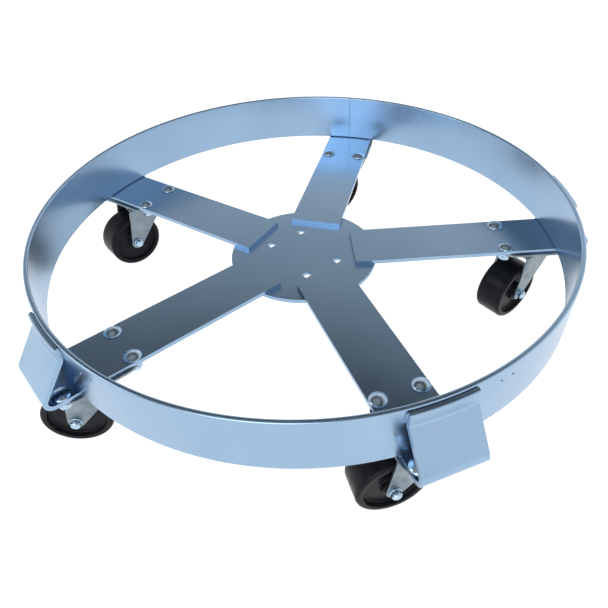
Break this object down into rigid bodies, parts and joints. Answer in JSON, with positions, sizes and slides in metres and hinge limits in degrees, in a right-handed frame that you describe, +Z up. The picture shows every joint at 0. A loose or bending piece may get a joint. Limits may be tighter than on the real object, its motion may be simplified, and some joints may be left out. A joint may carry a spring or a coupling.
{
  "type": "drum dolly",
  "caption": "Round flat-bar drum dolly: a hoop on radial arms that meet on a centre plate, with leaning outriggers and a swivel caster bolted under each arm.",
  "frame": {"origin": "centre of the centre plate's underside", "axes": "+Z up, through the middle of the hoop; +X along the first arm"},
  "size_m": [0.6522, 0.671, 0.1716],
  "materials": {
    "blue_zinc": "satin silver blue finish on flat steel bar, smooth, with soft reflections",
    "zinc_plate": "zinc plated pressed steel, slightly cloudy",
    "zinc_hardware": "bright zinc plated bolts, nuts, rivets and sleeves",
    "black_wheel": "hard black moulded wheel, semi gloss"
  },
  "bodies": {
    "frame": {"hoop": "blue_zinc", "centre_plate": "blue_zinc", "arm_0": "blue_zinc", "caster_plate_0": "zinc_plate", "kingpin_0": "zinc_hardware", "carriage_bolt_0_0": "zinc_hardware", "carriage_bolt_0_1": "zinc_hardware", "carriage_bolt_0_2": "zinc_hardware", "carriage_bolt_0_3": "zinc_hardware", "arm_1": "blue_zinc", "caster_plate_1": "zinc_plate", "kingpin_1": "zinc_hardware", "carriage_bolt_1_0": "zinc_hardware", "carriage_bolt_1_1": "zinc_hardware", "carriage_bolt_1_2": "zinc_hardware", "carriage_bolt_1_3": "zinc_hardware", "arm_2": "blue_zinc", "caster_plate_2": "zinc_plate", "kingpin_2": "zinc_hardware", "carriage_bolt_2_0": "zinc_hardware", "carriage_bolt_2_1": "zinc_hardware", "carriage_bolt_2_2": "zinc_hardware", "carriage_bolt_2_3": "zinc_hardware", "arm_3": "blue_zinc", "caster_plate_3": "zinc_plate", "kingpin_3": "zinc_hardware", "carriage_bolt_3_0": "zinc_hardware", "carriage_bolt_3_1": "zinc_hardware", "carriage_bolt_3_2": "zinc_hardware", "carriage_bolt_3_3": "zinc_hardware", "arm_4": "blue_zinc", "caster_plate_4": "zinc_plate", "kingpin_4": "zinc_hardware", "carriage_bolt_4_0": "zinc_hardware", "carriage_bolt_4_1": "zinc_hardware", "carriage_bolt_4_2": "zinc_hardware", "carriage_bolt_4_3": "zinc_hardware"},
    "swivel_0": {"swivel_fork_0": "zinc_plate", "axle_bolt_0": "zinc_hardware", "axle_sleeve_0": "zinc_hardware"},
    "wheel_body_0": {"wheel_0": "black_wheel"},
    "swivel_1": {"swivel_fork_1": "zinc_plate", "axle_bolt_1": "zinc_hardware", "axle_sleeve_1": "zinc_hardware"},
    "wheel_body_1": {"wheel_1": "black_wheel"},
    "swivel_2": {"swivel_fork_2": "zinc_plate", "axle_bolt_2": "zinc_hardware", "axle_sleeve_2": "zinc_hardware"},
    "wheel_body_2": {"wheel_2": "black_wheel"},
    "swivel_3": {"swivel_fork_3": "zinc_plate", "axle_bolt_3": "zinc_hardware", "axle_sleeve_3": "zinc_hardware"},
    "wheel_body_3": {"wheel_3": "black_wheel"},
    "swivel_4": {"swivel_fork_4": "zinc_plate", "axle_bolt_4": "zinc_hardware", "axle_sleeve_4": "zinc_hardware"},
    "wheel_body_4": {"wheel_4": "black_wheel"}
  },
  "joints": [
    {"name": "swivel_0_turn", "type": "hinge", "parent": "frame", "child": "swivel_0", "pos_m": [0.2848, 0, 0], "axis": [0, 0, 1], "continuous": true},
    {"name": "wheel_0_roll", "type": "hinge", "parent": "swivel_0", "child": "wheel_body_0", "pos_m": [0.262, -0.01626, -0.0585], "axis": [0.5807, -0.8141, 0], "continuous": true},
    {"name": "swivel_1_turn", "type": "hinge", "parent": "frame", "child": "swivel_1", "pos_m": [0.08801, 0.27086, 0], "axis": [0, 0, 1], "continuous": true},
    {"name": "wheel_1_roll", "type": "hinge", "parent": "swivel_1", "child": "wheel_body_1", "pos_m": [0.06559, 0.25409, -0.0585], "axis": [0.599, -0.8007, 0], "continuous": true},
    {"name": "swivel_2_turn", "type": "hinge", "parent": "frame", "child": "swivel_2", "pos_m": [-0.23041, 0.1674, 0], "axis": [0, 0, 1], "continuous": true},
    {"name": "wheel_2_roll", "type": "hinge", "parent": "swivel_2", "child": "wheel_body_2", "pos_m": [-0.25277, 0.15055, -0.0585], "axis": [0.6018, -0.7986, 0], "continuous": true},
    {"name": "swivel_3_turn", "type": "hinge", "parent": "frame", "child": "swivel_3", "pos_m": [-0.23041, -0.1674, 0], "axis": [0, 0, 1], "continuous": true},
    {"name": "wheel_3_roll", "type": "hinge", "parent": "swivel_3", "child": "wheel_body_3", "pos_m": [-0.25839, -0.16838, -0.0585], "axis": [0.0349, -0.9994, 0], "continuous": true},
    {"name": "swivel_4_turn", "type": "hinge", "parent": "frame", "child": "swivel_4", "pos_m": [0.08801, -0.27086, 0], "axis": [0, 0, 1], "continuous": true},
    {"name": "wheel_4_roll", "type": "hinge", "parent": "swivel_4", "child": "wheel_body_4", "pos_m": [0.06073, -0.27716, -0.0585], "axis": [0.225, -0.9744, 0], "continuous": true}
  ]
}
